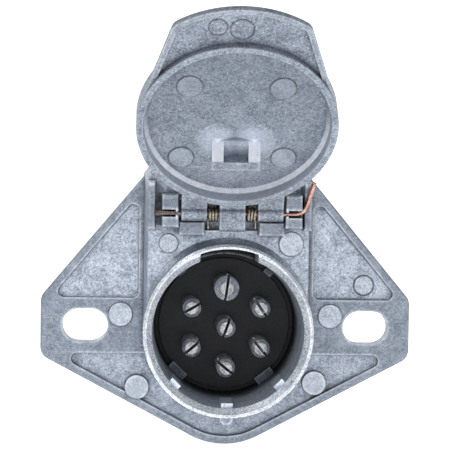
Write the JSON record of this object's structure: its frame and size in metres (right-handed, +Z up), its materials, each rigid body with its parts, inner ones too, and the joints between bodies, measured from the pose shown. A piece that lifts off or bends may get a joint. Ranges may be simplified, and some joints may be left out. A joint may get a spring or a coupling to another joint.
{
  "type": "trailer wiring connector",
  "caption": "Round trailer wiring socket on a diamond flange with two slotted holes, split contact pins and a sprung hinged lid.",
  "frame": {"origin": "on the bore's axis, in the plane of the flange's back face, midway between the two mounting slots", "axes": "+Y through the panel (the way the plug goes in), +Z up towards the lid's hinge, +X to the right seen from the plug side"},
  "size_m": [0.096, 0.1041, 0.1096],
  "materials": {
    "zinc_housing": "as-cast zinc, satin, worn bright on the edges",
    "zinc_lid": "as-cast zinc, satin, a little darker",
    "copper_wire": "copper-plated steel wire",
    "spring_wire": "yellow-plated spring wire",
    "black_moulding": "black moulded plastic",
    "ring_steel": "phosphated spring steel",
    "contact_plate": "tin-plated turned brass",
    "screw_steel": "zinc-plated steel"
  },
  "bodies": {
    "housing": {"housing": "zinc_housing", "hinge_pin": "copper_wire", "insert": "black_moulding", "retaining_ring": "ring_steel", "lid_spring": "spring_wire", "pin_ground_white": "contact_plate", "pin_clearance_black": "contact_plate", "pin_right_turn_green": "contact_plate", "pin_tail_brown": "contact_plate", "pin_left_turn_yellow": "contact_plate", "pin_stop_red": "contact_plate", "pin_auxiliary_blue": "contact_plate", "set_screw_ground_white": "screw_steel", "set_screw_clearance_black": "screw_steel", "set_screw_right_turn_green": "screw_steel", "set_screw_tail_brown": "screw_steel", "set_screw_left_turn_yellow": "screw_steel", "set_screw_stop_red": "screw_steel", "set_screw_auxiliary_blue": "screw_steel"},
    "lid": {"lid": "zinc_lid"}
  },
  "joints": [
    {"name": "lid_hinge", "type": "hinge", "parent": "housing", "child": "lid", "pos_m": [0, -0.0228, 0.03], "axis": [1, 0, 0], "range_deg": [0, 141], "deforming": ["lid_spring"]}
  ]
}
